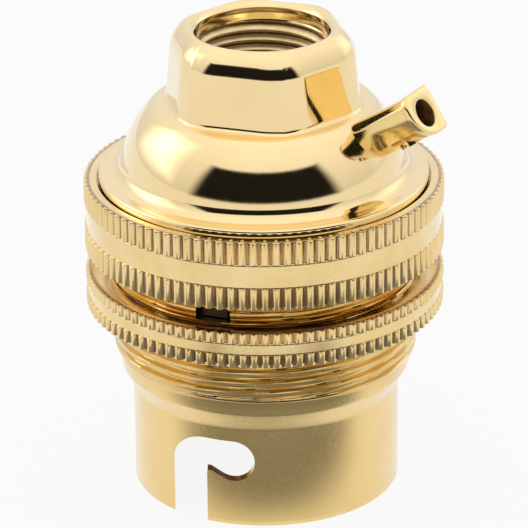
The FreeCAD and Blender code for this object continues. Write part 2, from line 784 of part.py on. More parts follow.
def earth_clamp_screw():
    """Slotted grub screw under the pillar that grips the earth wire."""
    shank = cylinder("clamp_screw_shank", "clamp_screw_radius", "clamp_screw_length")
    slot = box("clamp_screw_slot",
               ("-clamp_screw_radius - overcut", "-clamp_slot_width / 2", "-overcut"),
               ("clamp_screw_radius + overcut", "clamp_slot_width / 2", "clamp_slot_depth"))
    return across_pillar(cut("earth_clamp_screw", shank, [slot]), "-bar_back")


def earth_washer():
    """Plain washer between the dome and the rivet head."""
    disc = pillar_cylinder("earth_washer_disc", "earth_washer_radius",
                           "-earth_washer_low", "earth_washer_thickness - earth_washer_low")
    hole = pillar_cylinder("earth_washer_hole", "spigot_radius + running_clearance",
                           "-earth_washer_low - overcut", "overcut - cap_wall")
    return cut("earth_washer", disc, [hole])


def facing(item, angle="0", out="0", z="0"):
    """Turn a piece of the interior about Z, so that it lines up with the lamp's contacts."""
    spin = "(interior_turn + %s)" % angle
    return turn(item, x="(%s) * cos(%s)" % (out, spin), y="(%s) * sin(%s)" % (out, spin),
                z=z, about_z=spin)


def interior_base():
    """Lower half of the insulating interior, with the plungers' wells."""
    disc = cylinder("base_disc", "interior_radius", "interior_split - ledge_level", z="ledge_level")
    tools = [cylinder("base_screw_hole", "joining_hole_radius",
                      "interior_split - ledge_level + 2 * overcut", z="ledge_level - overcut"),
             cylinder("base_screw_recess", "joining_head_radius + running_clearance",
                      "joining_head_recess + overcut", z="ledge_level - overcut")]
    for side, sign in SIDES:
        x = sign + "contact_x"
        tools.append(cylinder("base_guide_" + side, "plunger_radius + running_clearance",
                              "plunger_shoulder + overcut", x=x, z="ledge_level - overcut"))
        tools.append(cylinder("base_well_" + side, "well_radius",
                              "interior_split - plunger_seat + overcut", x=x, z="plunger_seat"))
    return facing(cut("interior_base", disc, tools))


def cover_key(name, angle):
    """A rib on the cover that stands in a notch of the skirt."""
    key = box(name, ("-key_width / 2", "-interior_radius - key_reach", "interior_split"),
              ("key_width / 2", "-interior_boss_radius", "interior_step"))
    spin = "(key_azimuth + %s)" % angle
    low = ("(-key_width / 2)", "(-interior_radius - key_reach)")
    return turn(key, x="%s * cos(%s) - %s * sin(%s)" % (low[0], spin, low[1], spin),
                y="%s * sin(%s) + %s * cos(%s)" % (low[0], spin, low[1], spin),
                z="interior_split", about_z=spin)


def terminal_well(side, sign):
    """The tools that make room for one terminal, its screw and its spring in the cover."""
    span = ["terminal_inner - terminal_gap", "terminal_outer + terminal_gap"]
    window = ["terminal_middle", "interior_radius + overcut"]
    if sign:
        span = ["-(%s)" % text for text in reversed(span)]
        window = ["-(%s)" % text for text in reversed(window)]
    half = "(terminal_width / 2 + terminal_gap)"
    top = "interior_top_level + overcut"
    return [box("cover_well_" + side, (span[0], "-" + half, "terminal_floor"),
                (span[1], half, top)),
            box("cover_window_" + side, (window[0], "-" + half, "interior_step"),
                (window[1], half, top)),
            cylinder("cover_spring_hole_" + side, "well_radius",
                     "terminal_floor - interior_split + 2 * overcut",
                     x=sign + "contact_x", z="interior_split - overcut")]


def interior_cover():
    """Upper half of the interior: terminal wells, a trough for the nut and two keys."""
    solid = fuse("cover_solid", [
        cylinder("cover_disc", "interior_radius", "interior_step - interior_split",
                 z="interior_split"),
        cylinder("cover_boss", "interior_boss_radius", "interior_top_level - interior_split",
                 z="interior_split"),
        cover_key("cover_key_front", "0"),
        cover_key("cover_key_back", "180")])
    tools = [cylinder("cover_screw_hole", "joining_hole_radius",
                      "trough_level - interior_split + 2 * overcut",
                      z="interior_split - overcut"),
             box("cover_trough",
                 ("-trough_width / 2", "-interior_boss_radius - overcut", "trough_level"),
                 ("trough_width / 2", "interior_boss_radius + overcut",
                  "interior_top_level + overcut"))]
    for side, sign in SIDES:
        tools += terminal_well(side, sign)
    return facing(cut("interior_cover", solid, tools))


def terminal_block(side, angle):
    """Brass block that takes a wire from above and the plunger's spring from below."""
    block = box("block_" + side, ("terminal_inner", "-terminal_width / 2", "terminal_floor"),
                ("terminal_outer", "terminal_width / 2", "terminal_top"))
    wire_hole = cylinder("block_wire_hole_" + side, "wire_hole_radius",
                         "wire_hole_depth + overcut", x="wire_hole_place",
                         z="terminal_top - wire_hole_depth")
    screw_hole = lying("block_screw_hole_" + side, "terminal_screw_radius + running_clearance",
                       "wire_hole_place", "terminal_outer + overcut")
    return facing(cut("terminal_block_" + side, block, [wire_hole, screw_hole]), angle)


def lying(name, radius, near, far):
    """A round piece along +X at the level of the terminal screws."""
    item = doc.addObject("Part::Cylinder", name)
    bind(item, Radius=radius, Height="(%s) - (%s)" % (far, near))
    parts = (bound(near), bound("terminal_screw_level"))
    item.setExpression("Placement", "create(<<placement>>; create(<<vector>>; %s; 0; %s); "
                       "create(<<rotation>>; 0; 90; 0))" % parts)
    return item


def terminal_screw(side, angle):
    """Cheese-head screw that grips a wire in its terminal block."""
    shank = lying("terminal_shank_" + side, "terminal_screw_radius",
                  "wire_hole_place + wire_hole_radius", "head_in")
    head = lying("terminal_head_" + side, "terminal_head_radius", "head_in", "head_out")
    slot = box("terminal_slot_" + side,
               ("head_out - driver_slot_depth", "-driver_slot_width / 2",
                "terminal_screw_level - terminal_head_radius - overcut"),
               ("head_out + overcut", "driver_slot_width / 2",
                "terminal_screw_level + terminal_head_radius + overcut"))
    solid = fuse("terminal_screw_solid_" + side, [shank, head])
    return facing(cut("terminal_screw_" + side, solid, [slot]), angle)


def plunger(side, angle):
    """Brass contact plunger with its retaining head and a stem inside the spring."""
    body = new_body("plunger_" + side)
    revolve(body, "plunger_turning_" + side, [
        ("0", "plunger_tip_level"),
        ("plunger_tip_radius", "plunger_tip_level"),
        ("plunger_radius", "plunger_tip_high"),
        ("plunger_radius", "plunger_seat"),
        ("plunger_head_radius", "plunger_seat"),
        ("plunger_head_radius", "plunger_head_top"),
        ("plunger_stem_radius", "plunger_head_top"),
        ("plunger_stem_radius", "plunger_stem_top"),
        ("0", "plunger_stem_top"),
    ])
    return facing(body, angle, out="contact_x")


def plunger_spring(side, angle):
    """Coil spring between the plunger's head and the terminal block."""
    helix = doc.addObject("Part::Helix", "spring_path_" + side)
    bind(helix, Radius="spring_coil_radius", Height="spring_height",
         Pitch="spring_height / spring_turns")
    wire = doc.addObject("Part::Circle", "spring_wire_" + side)
    bind(wire, Radius="spring_wire_radius")
    wire.Placement = FreeCAD.Placement(FreeCAD.Vector(), FreeCAD.Rotation(
        FreeCAD.Vector(1, 0, 0), 90))
    wire.setExpression("Placement.Base.x", bound("spring_coil_radius"))
    coil = doc.addObject("Part::Sweep", "plunger_spring_" + side)
    coil.Sections = [wire]
    coil.Spine = (helix, ["Edge1"])
    coil.Solid = True
    coil.Frenet = True
    coil.Label = "plunger_spring_" + side
    return facing(coil, angle, out="contact_x", z="spring_low")


def joining_screw():
    """Screw from the lamp side that holds the two halves of the interior together."""
    solid = fuse("joining_solid", [
        cylinder("joining_head", "joining_head_radius", "joining_head_height",
                 z="joining_seat - joining_head_height"),
        cylinder("joining_shank", "joining_screw_radius", "joining_top - joining_seat",
                 z="joining_seat")])
    slot = box("joining_slot",
               ("-joining_head_radius - overcut", "-driver_slot_width / 2",
                "joining_seat - joining_head_height - overcut"),
               ("joining_head_radius + overcut", "driver_slot_width / 2",
                "joining_seat - joining_head_height + driver_slot_depth"))
    return facing(cut("joining_screw", solid, [slot]))


def lock_washer():
    """Washer under the nut."""
    disc = cylinder("lock_washer_disc", "lock_washer_radius", "lock_washer_thickness",
                    z="trough_level")
    hole = cylinder("lock_washer_hole", "joining_hole_radius",
                    "lock_washer_thickness + 2 * overcut", z="trough_level - overcut")
    return facing(cut("lock_washer", disc, [hole]))


def joining_nut():
    """Hexagon nut in the trough of the cover."""
    prism = doc.addObject("Part::Prism", "joining_nut_prism")
    prism.Polygon = 6
    bind(prism, Circumradius="nut_width / 2 / cos(30)", Height="nut_height")
    place(prism, z="nut_low")
    hole = cylinder("joining_nut_hole", "joining_hole_radius", "nut_height + 2 * overcut",
                    z="nut_low - overcut")
    return facing(cut("joining_nut", prism, [hole]))


def check(items):
    """Stop if any object failed, or any finished piece is missing or faulty."""
    for item in doc.Objects:
        if "Invalid" in item.State or "Error" in item.State:
            raise RuntimeError("%s: %s" % (item.Name, item.State))
    for item in items:
        shape = item.Shape
        if shape.isNull() or not shape.isValid() or shape.Volume <= 0:
            raise RuntimeError(item.Label + " has no sound shape")


SIDES = (("right", ""), ("left", "-"))
ANGLES = {"right": "0", "left": "180"}

blank = cap_blank()
pieces = [barrel_shell(), shade_ring(), union_ring(), cap_dome(blank), earth_pillar(blank),
          earth_washer(), earth_clamp_screw(), interior_base(), interior_cover(),
          joining_screw(), lock_washer(), joining_nut()]
for side_name, side_angle in ANGLES.items():
    pieces += [terminal_block(side_name, side_angle), terminal_screw(side_name, side_angle),
               plunger(side_name, side_angle), plunger_spring(side_name, side_angle)]
doc.recompute()
check(pieces)
for piece in pieces:
    piece.Shape.exportStep("parts/%s.step" % piece.Label)
    print("%-24s %9.3f mm3  %d solid" % (piece.Label, piece.Shape.Volume,
                                         len(piece.Shape.Solids)))
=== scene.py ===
import json
import math
import bmesh
import bpy
import numpy as np
from mathutils import Matrix, Vector


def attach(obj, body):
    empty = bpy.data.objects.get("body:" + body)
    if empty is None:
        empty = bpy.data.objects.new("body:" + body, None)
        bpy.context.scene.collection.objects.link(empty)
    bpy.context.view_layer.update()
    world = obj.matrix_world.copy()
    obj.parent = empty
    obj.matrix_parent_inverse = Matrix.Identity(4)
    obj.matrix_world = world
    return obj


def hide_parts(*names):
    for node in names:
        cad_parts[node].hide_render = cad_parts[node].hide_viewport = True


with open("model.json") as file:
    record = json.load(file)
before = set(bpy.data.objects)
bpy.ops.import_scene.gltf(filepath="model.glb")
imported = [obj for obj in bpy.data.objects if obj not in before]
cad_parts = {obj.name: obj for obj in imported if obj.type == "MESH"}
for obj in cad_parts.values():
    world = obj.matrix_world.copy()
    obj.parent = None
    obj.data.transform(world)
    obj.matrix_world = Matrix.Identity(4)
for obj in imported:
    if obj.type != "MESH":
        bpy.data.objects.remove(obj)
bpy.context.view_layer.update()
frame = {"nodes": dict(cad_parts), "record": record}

MM = 0.001
scene = bpy.context.scene
nodes = frame["nodes"]

# ---------------------------------------------------------------- sizes, in millimetres
TURN = 2 * math.pi
PITCH = 0.977
BARREL_R, BARREL_BORE, RELIEF_BORE = 12.4, 11.4, 11.6
SKIRT_R, SKIRT_BORE, SKIRT_LOW, SKIRT_TOP, LEDGE = 13.8, 12.7, 13.2, 28.0, 8.4
THREAD_CREST, NOTCH_LEFT, NOTCH_RIGHT, NOTCH_FLOOR = 14.06, -6.25, -3.15, 21.1
RING_R, RING_ROOT, RING_BAND, RING_BORE = 16.6, 16.24, 16.42, 14.14
TEETH = 100
SHADE_LOW, SHADE_TOP = 17.9, 21.26
UNION_LOW, UNION_TOP = 23.46, 30.03
GROOVE_R, GROOVE_LOW, GROOVE_TOP, UNION_MOUTH = 15.8, 27.9, 29.2, 15.34
CEILING, CAP_LOW, CAP_BORE, CAP_EDGE = 36.36, 28.0, 12.9, 0.06
FLANGE_R, FLANGE_STEP, FLANGE_TOP, STEP_R, STEP_ROUND = 15.7, 29.1, 30.7, 15.2, 0.28
WALL_C, WALL_R, WALL_HIGH, FILLET = (4.617, 30.806), 8.43, 43.9, 1.3
WALL_LOW = math.degrees(math.asin((FILLET + FLANGE_TOP - WALL_C[1]) / (WALL_R + FILLET)))
SHOULDER_R = 2.15
CAP_WALL = 0.95
NECK_FLAT, NECK_ROUND, NECK_AZ, NECK_DRAFT = 8.62, 4.6, 12.0, 4.7
NECK_TOP, LIP_R, FOOT_R, NECK_CREASE = 44.9, 3.0, 0.45, 0.07
ENTRY_R, MOUTH_R, MOUTH_CREST, MOUTH_Z, THREAD_TOP = 6.1, 1.0, 6.95, 44.5, 42.9

PILLAR_SIDE, PILLAR_BACK, PILLAR_LENGTH = 2.2, 2.05, 6.26
PILLAR_AZ, PILLAR_RISE, PILLAR_SEAT = 60.0, 33.0, 35.5  # degrees; the last is a place on the dome
PILLAR_SUNK, PILLAR_EDGE, COLLAR = 0.85, 0.20, 0.12
PILLAR_DIRECTIONS = 144
# the section's corners: side, back, first angle in degrees, radius
PILLAR_CORNERS = ((-1, -1, 180, 2.8), (1, -1, 270, 0.4), (1, 1, 0, 0.4), (-1, 1, 90, 1.1))
WIRE_R, WIRE_DEPTH, SCREW_R, SCREW_PLACE = 1.28, 4.9, 1.05, 3.3
SPIGOT_R, SPIGOT_LOW, RIVET_R, RIVET_LOW = 1.3, 1.95, 1.6, 2.55
SEAT_R = WALL_C[0] + WALL_R * math.cos(math.radians(PILLAR_SEAT))
SEAT_Z = WALL_C[1] + WALL_R * math.sin(math.radians(PILLAR_SEAT))


def rad(degrees):
    return math.radians(degrees)


# ---------------------------------------------------------------- mesh helpers
def mesh_object(name, verts, faces, smooth=True):
    mesh = bpy.data.meshes.new(name)
    mesh.from_pydata([tuple(v) for v in verts], [], [tuple(f) for f in faces])
    mesh.update()
    obj = bpy.data.objects.new(name, mesh)
    scene.collection.objects.link(obj)
    if smooth:
        mesh.polygons.foreach_set("use_smooth", [True] * len(mesh.polygons))
    return obj


def lathe(name, radius, height, angle=None):
    """A closed ring from radius and height arrays of shape (points, turns), in mm."""
    points, turns = radius.shape
    if angle is None:
        angle = np.arange(turns) * TURN / turns
    x = radius * np.sin(angle)
    y = -radius * np.cos(angle)
    verts = np.stack([x, y, height], axis=2).reshape(-1, 3) * MM
    i = np.arange(points)[:, None]
    j = np.arange(turns)[None, :]
    a = i * turns + j
    b = i * turns + (j + 1) % turns
    c = ((i + 1) % points) * turns + (j + 1) % turns
    d = ((i + 1) % points) * turns + j
    faces = np.stack([a, b, c, d], axis=2).reshape(-1, 4)
    return mesh_object(name, verts.tolist(), faces.tolist())


def outward(obj):
    """Point every face outwards."""
    bm = bmesh.new()
    bm.from_mesh(obj.data)
    bmesh.ops.recalc_face_normals(bm, faces=bm.faces)
    bm.to_mesh(obj.data)
    bm.free()
    return obj


def arc(centre, radius, first, last, steps):
    """Points along an arc between two angles in degrees."""
    t = np.radians(np.linspace(first, last, steps))
    return list(zip(centre[0] + radius * np.cos(t), centre[1] + radius * np.sin(t)))


def smooth_by_angle(obj, degrees):
    """Smooth shading that keeps edges sharper than the angle crisp."""
    mesh = obj.data
    mesh.polygons.foreach_set("use_smooth", [True] * len(mesh.polygons))
    bm = bmesh.new()
    bm.from_mesh(mesh)
    limit = rad(degrees)
    for edge in bm.edges:
        edge.smooth = len(edge.link_faces) == 2 and edge.calc_face_angle(0) < limit
    bm.to_mesh(mesh)
    bm.free()
    return obj


def softmin(a, b, width):
    """The smaller of two arrays, blended where they are nearly equal."""
    h = np.clip(0.5 + 0.5 * (b - a) / width, 0, 1)
    return b * (1 - h) + a * h - width * h * (1 - h)


# ---------------------------------------------------------------- cap: flange, dome and neck
def rounded_hexagon(angle, flat, corner):
    """Polar radius of a hexagon with rounded corners, a corner lying at azimuth NECK_AZ."""
    delta = (angle - rad(NECK_AZ) + rad(30)) % rad(60) - rad(30)
    centre = (flat - corner) / math.cos(rad(30))
    on_arc = centre * np.cos(delta) + np.sqrt(
        np.maximum(corner ** 2 - (centre * np.sin(delta)) ** 2, 0))
    tilt = rad(30) - np.abs(delta)
    on_flat = flat / np.cos(tilt)
    along = flat * np.tan(tilt)
    crease = NECK_CREASE * np.exp(-(delta / rad(2.6)) ** 2)
    return np.where(along < (flat - corner) * math.tan(rad(30)), on_flat, on_arc) + crease


def neck_flat_at(z):
    return NECK_FLAT - (z - CEILING) * math.tan(rad(NECK_DRAFT))


def neck_radius(angle, z):
    """Polar radius of the neck's outside at heights below the lip's rounding."""
    return rounded_hexagon(angle, neck_flat_at(z), NECK_ROUND)


def dome_curve():
    """Outer profile of the dome from its foot to the middle, as points and outward normals."""
    pts, nrm = [], []
    for t in np.radians(np.linspace(WALL_LOW, WALL_HIGH, 60)):
        pts.append((WALL_C[0] + WALL_R * math.cos(t), WALL_C[1] + WALL_R * math.sin(t)))
        nrm.append((math.cos(t), math.sin(t)))
    off = WALL_R - SHOULDER_R
    c = (WALL_C[0] + off * math.cos(rad(WALL_HIGH)), WALL_C[1] + off * math.sin(rad(WALL_HIGH)))
    for t in np.radians(np.linspace(WALL_HIGH, 90, 40))[1:]:
        pts.append((c[0] + SHOULDER_R * math.cos(t), c[1] + SHOULDER_R * math.sin(t)))
        nrm.append((math.cos(t), math.sin(t)))
    for r in np.linspace(c[0], 6.5, 60)[1:]:
        pts.append((r, c[1] + SHOULDER_R))
        nrm.append((0.0, 1.0))
    return np.array(pts), np.array(nrm), c


def build_cap():
    turns = 480
    angle = np.arange(turns) * TURN / turns
    one = np.ones(turns)
    rows_r, rows_z = [], []

    def ring(r, z):
        rows_r.append(r * one)
        rows_z.append(z * one)

    # outside, from the bottom of the flange up
    for r, z in [(CAP_BORE, CAP_LOW), (FLANGE_R - CAP_EDGE, CAP_LOW), (FLANGE_R, CAP_LOW + CAP_EDGE),
                 (FLANGE_R, FLANGE_STEP - CAP_EDGE), (FLANGE_R - CAP_EDGE, FLANGE_STEP),
                 (STEP_R + CAP_EDGE, FLANGE_STEP), (STEP_R, FLANGE_STEP + CAP_EDGE)]:
        ring(r, z)
    for r, z in arc((STEP_R - STEP_ROUND, FLANGE_TOP - STEP_ROUND), STEP_ROUND, 0, 90, 9):
        ring(r, z)
    foot_x = WALL_C[0] + (WALL_R + FILLET) * math.cos(rad(WALL_LOW))
    for r in np.linspace(14.85, foot_x + 0.02, 5):
        ring(r, FLANGE_TOP)
    for r, z in arc((foot_x, FLANGE_TOP + FILLET), FILLET, 270, 180 + WALL_LOW, 20):
        ring(r, z)
    pts, nrm, shoulder = dome_curve()
    count = len(pts)
    # where the foot of the neck leaves the dome, for each direction
    index = np.arange(count)
    low = np.zeros(turns)
    high = np.full(turns, count - 1.0)
    for _ in range(40):
        mid = (low + high) / 2
        px = np.interp(mid, index, pts[:, 0]) + FOOT_R * np.interp(mid, index, nrm[:, 0])
        pz = np.interp(mid, index, pts[:, 1]) + FOOT_R * np.interp(mid, index, nrm[:, 1])
        gap = (px - neck_radius(angle, pz)) * math.cos(rad(NECK_DRAFT)) - FOOT_R
        low = np.where(gap > 0, mid, low)
        high = np.where(gap > 0, high, mid)
    leave = low
    steps = 58
    for k in range(1, steps + 1):
        s = leave * k / steps
        rows_r.append(np.interp(s, index, pts[:, 0]))
        rows_z.append(np.interp(s, index, pts[:, 1]))
    centre_x = np.interp(leave, index, pts[:, 0]) + FOOT_R * np.interp(leave, index, nrm[:, 0])
    centre_z = np.interp(leave, index, pts[:, 1]) + FOOT_R * np.interp(leave, index, nrm[:, 1])
    start = np.arctan2(np.interp(leave, index, pts[:, 1]) - centre_z,
                       np.interp(leave, index, pts[:, 0]) - centre_x)
    start = np.where(start > 0, start - TURN, start)
    end = rad(-180 + NECK_DRAFT)
    for k in range(1, 13):
        t = start + (end - start) * k / 12
        rows_r.append(centre_x + FOOT_R * np.cos(t))
        rows_z.append(centre_z + FOOT_R * np.sin(t))
    foot_top = rows_z[-1]
    blend = rows_r[-1] - neck_radius(angle, foot_top)
    lip_z = NECK_TOP - LIP_R
    wall_top = lip_z + LIP_R * math.sin(rad(NECK_DRAFT))
    for k in range(1, 13):
        z = foot_top + (wall_top - foot_top) * k / 12
        rows_r.append(neck_radius(angle, z) + blend * max(0.0, 1 - k / 3))
        rows_z.append(z)
    # the lip's rounding, then over the crest and down into the mouth
    inner_flat = neck_flat_at(lip_z) - LIP_R / math.cos(rad(NECK_DRAFT))
    skeleton = neck_flat_at(lip_z) - NECK_ROUND

    def lip_ring(t):
        flat = inner_flat + LIP_R * math.cos(t)
        return rounded_hexagon(angle, flat, flat - skeleton), lip_z + LIP_R * math.sin(t)

    table = [lip_ring(t) for t in np.radians(np.linspace(NECK_DRAFT, 90, 90))]
    table_r = np.array([row for row, z in table])
    table_z = np.array([z for row, z in table])
    lip_edge = rad(26)
    for t in np.linspace(rad(NECK_DRAFT), lip_edge, 12)[1:]:
        r, z = lip_ring(t)
        rows_r.append(r)
        rows_z.append(z * one)
    outer = rows_r[-1]
    share = np.concatenate([np.linspace(0, 0.5, 14)[1:], np.linspace(0.5, 0.92, 18)[1:],
                            np.linspace(0.92, 1, 8)[1:]])
    for k in share:
        r = outer + (ENTRY_R + 0.004 - outer) * k
        over = np.array([np.interp(-r[j], -table_r[:, j], table_z) for j in range(turns)])
        under = (MOUTH_Z - MOUTH_R) + np.sqrt(
            np.maximum(MOUTH_R ** 2 - np.maximum(MOUTH_CREST - r, 0) ** 2, 0))
        rows_r.append(r)
        rows_z.append(softmin(over, under, 0.10))
    mouth = rows_z[-1]
    # the thread in the entry: a plain band, then ridges that run inwards as a helix
    base = CEILING - 0.02
    for k in np.linspace(0, 1, 120)[1:]:
        z = mouth + (base - mouth) * k
        fade = np.clip((THREAD_TOP - z) / 0.6, 0, 1)
        phase = (z / PITCH - angle / TURN) % 1.0
        ridge = 0.5 - 0.5 * np.cos(TURN * phase)
        lead = np.clip((43.6 - z) / 0.7, 0, 1)
        rows_r.append(ENTRY_R - 0.12 * lead - 0.44 * ridge * fade)
        rows_z.append(z)
    # inside of the dome
    ring(6.3, CEILING)
    ring(8.2, CEILING)
    for r, z in arc(shoulder, SHOULDER_R - CAP_WALL, 90, WALL_HIGH, 8):
        ring(r, z)
    for r, z in arc(WALL_C, WALL_R - CAP_WALL, WALL_HIGH, WALL_LOW, 16):
        ring(r, z)
    ring(12.07, GROOVE_TOP)
    ring(CAP_BORE, GROOVE_TOP)
    cap = outward(lathe("cap_shell", np.array(rows_r), np.array(rows_z)))
    return smooth_by_angle(cap, 40)


# ---------------------------------------------------------------- knurled rings
def knurl():
    """Angles round a knurled band and the radius at each: rounded crests and grooves."""
    phase = np.arange(12) / 12
    depth = (0.5 - 0.5 * np.cos(TURN * phase)) ** 1.3
    angle = ((np.arange(TEETH)[:, None] + phase[None, :]) * TURN / TEETH).reshape(-1)
    return angle, np.tile(RING_R - (RING_R - RING_ROOT) * depth, TEETH)


def build_ring(name, low, band_low, band_high, top, inside):
    angle, knurled = knurl()
    one = np.ones(len(angle))
    band = RING_BAND * one
    rows = [(RING_BORE * one, low), ((RING_ROOT - 0.35) * one, low),
            (knurled - 0.09, low), (knurled - 0.03, low + 0.03), (knurled, low + 0.10)]
    for edge, way in ((band_low, -1), (band_high, 1)):
        run_out = [(knurled, edge + 0.15 * way), (0.6 * knurled + 0.4 * band, edge + 0.05 * way),
                   (band - 0.03, edge + 0.01 * way), (band, edge - 0.05 * way),
                   (band, edge - 0.08 * way)]
        rows += run_out if way < 0 else run_out[::-1]
    rows += [(knurled, top - 0.10), (knurled - 0.03, top - 0.03), (knurled - 0.09, top)]
    rows += [(r * one, z) for r, z in inside]
    radius = np.array([r for r, z in rows])
    height = np.array([z * one for r, z in rows])
    ring = outward(lathe(name, radius, height, angle))
    return smooth_by_angle(ring, 28)


# ---------------------------------------------------------------- shell with thread and slots
def build_shell():
    turns = 480
    angle = np.arange(turns) * TURN / turns
    one = np.ones(turns)
    rows_r, rows_z = [], []

    def ring(r, z):
        rows_r.append(r * one)
        rows_z.append(z * one)

    for r, z in [(BARREL_BORE, 0.05), (BARREL_BORE + 0.05, 0.0), (12.26, 0.0), (12.36, 0.04),
                 (BARREL_R, 0.14)]:
        ring(r, z)
    for z in np.linspace(0.6, 9.4, 12):
        ring(BARREL_R, z)
    # shoulder with its two soft bends
    for z in np.linspace(9.55, 11.95, 13):
        share = np.clip((z - 9.75) / 2.0, 0, 1)
        soft = share ** 1.25 * (2 - share) ** 0.25
        ring(BARREL_R + 1.02 * float(soft), z)
    for r, z in [(13.44, 12.2), (13.48, 12.7), (13.50, 13.0), (13.56, 13.1), (13.70, SKIRT_LOW)]:
        ring(r, z)
    low, high = 13.3, SKIRT_TOP - 0.25
    for z in np.linspace(low, high, 190):
        fade = min(1.0, (z - low) / 0.25, (high - z) / 0.2)
        phase = (z / PITCH - angle / TURN) % 1.0
        ridge = np.clip(1.55 - np.abs(phase - 0.5) * 3.6, 0, 1)
        ridge = ridge * ridge * (3 - 2 * ridge)
        rows_r.append(SKIRT_R - 0.14 + (THREAD_CREST - SKIRT_R + 0.14) * ridge * max(fade, 0))
        rows_z.append(z * one)
    for r, z in [(SKIRT_R - 0.15, SKIRT_TOP - 0.1), (SKIRT_R - 0.25, SKIRT_TOP),
                 (SKIRT_BORE + 0.05, SKIRT_TOP), (SKIRT_BORE, SKIRT_TOP - 0.05), (SKIRT_BORE, 20.0),
                 (SKIRT_BORE, SKIRT_LOW), (RELIEF_BORE, SKIRT_LOW), (RELIEF_BORE, LEDGE),
                 (BARREL_BORE, LEDGE)]:
        ring(r, z)
    shell = outward(lathe("barrel_body", np.array(rows_r), np.array(rows_z)))
    for cutter in (slot_cutter, notch_cutter):
        for side in (1, -1):
            cut_away(shell, cutter(side))
    return smooth_by_angle(shell, 35)


def cut_away(obj, cutter):
    """Cut one closed mesh out of another and remove the tool."""
    modifier = obj.modifiers.new("cut", "BOOLEAN")
    modifier.operation = "DIFFERENCE"
    modifier.solver = "EXACT"
    modifier.object = cutter
    graph = bpy.context.evaluated_depsgraph_get()
    mesh = bpy.data.meshes.new_from_object(obj.evaluated_get(graph))
    obj.modifiers.clear()
    obj.data = mesh
    bpy.data.objects.remove(cutter)


def prism_faces(count):
    """Faces of a closed prism with this many corners at each end."""
    ends = [tuple(range(count)), tuple(range(2 * count - 1, count - 1, -1))]
    return ends + [(k, k + count, (k + 1) % count + count, (k + 1) % count) for k in range(count)]


def prism(name, outline, near, far, side):
    """A prism along Y from an outline in x and z, for the front or, turned round, the back."""
    verts = [(x * side * MM, y * side * MM, z * MM) for y in (near, far) for x, z in outline]
    return outward(mesh_object(name, verts, prism_faces(len(outline)), smooth=False))


def slot_outline():
    left, right, top, corner = -8.54, -5.5, 8.5, 3.0
    hook_x, hook_z, hook_r, slope, tip = -3.1, 6.5, 2.0, 27.0, 0.3
    s, c = math.sin(rad(slope)), math.cos(rad(slope))
    foot_x, foot_z = hook_x - hook_r * s, hook_z - hook_r * c
    tip_z = foot_z + (foot_x - right) * math.tan(rad(slope))
    run = tip / math.tan(rad((90 - slope) / 2))
    pts = [(left, -1.0)]
    pts += arc((left + corner, top - corner), corner, 180, 90, 17)
    pts += arc((hook_x, hook_z), hook_r, 90, -90 - slope, 27)
    pts += [(right + run * c, tip_z - run * s), (right + 0.06, tip_z - run * 0.45),
            (right, tip_z - run)]
    pts += [(right, -1.0)]
    return pts


def slot_cutter(side):
    return prism("slot_tool", slot_outline(), -15.0, -3.0, side)


def notch_cutter(side):
    above = SKIRT_TOP + 1.0
    outline = [(NOTCH_LEFT, NOTCH_FLOOR), (NOTCH_RIGHT, NOTCH_FLOOR), (NOTCH_RIGHT, above),
               (NOTCH_LEFT, above)]
    return prism("notch_tool", outline, -15.5, -3.0, side)


# ---------------------------------------------------------------- earth pillar
SEAT = Vector((SEAT_R * math.sin(rad(PILLAR_AZ)), -SEAT_R * math.cos(rad(PILLAR_AZ)), SEAT_Z))
PILLAR_AXIS = Vector((math.cos(rad(PILLAR_RISE)) * math.sin(rad(PILLAR_AZ)),
                      -math.cos(rad(PILLAR_RISE)) * math.cos(rad(PILLAR_AZ)),
                      math.sin(rad(PILLAR_RISE))))


def pillar_outline(grow):
    """The pillar's section: square on the far side, rounded above and well rounded below."""
    side, back = PILLAR_SIDE + grow, PILLAR_BACK + grow
    pts = []
    for sx, sy, first, radius in PILLAR_CORNERS:
        pts += arc((sx * (side - radius), sy * (back - radius)), radius, first, first + 90, 40)
    pts = np.array(pts + pts[:1])
    steps = np.linspace(0, 1, 12)[:-1, None]
    pts = np.concatenate([a + (b - a) * steps for a, b in zip(pts[:-1], pts[1:])])
    turned = np.unwrap(np.arctan2(pts[:, 1], pts[:, 0]))
    angle = turned[0] + np.arange(PILLAR_DIRECTIONS) * TURN / PILLAR_DIRECTIONS
    reach = np.interp(angle, np.append(turned, turned[0] + TURN),
                      np.append(np.hypot(*pts.T), math.hypot(*pts[0])))
    return np.stack([reach * np.cos(angle), reach * np.sin(angle)], axis=1)


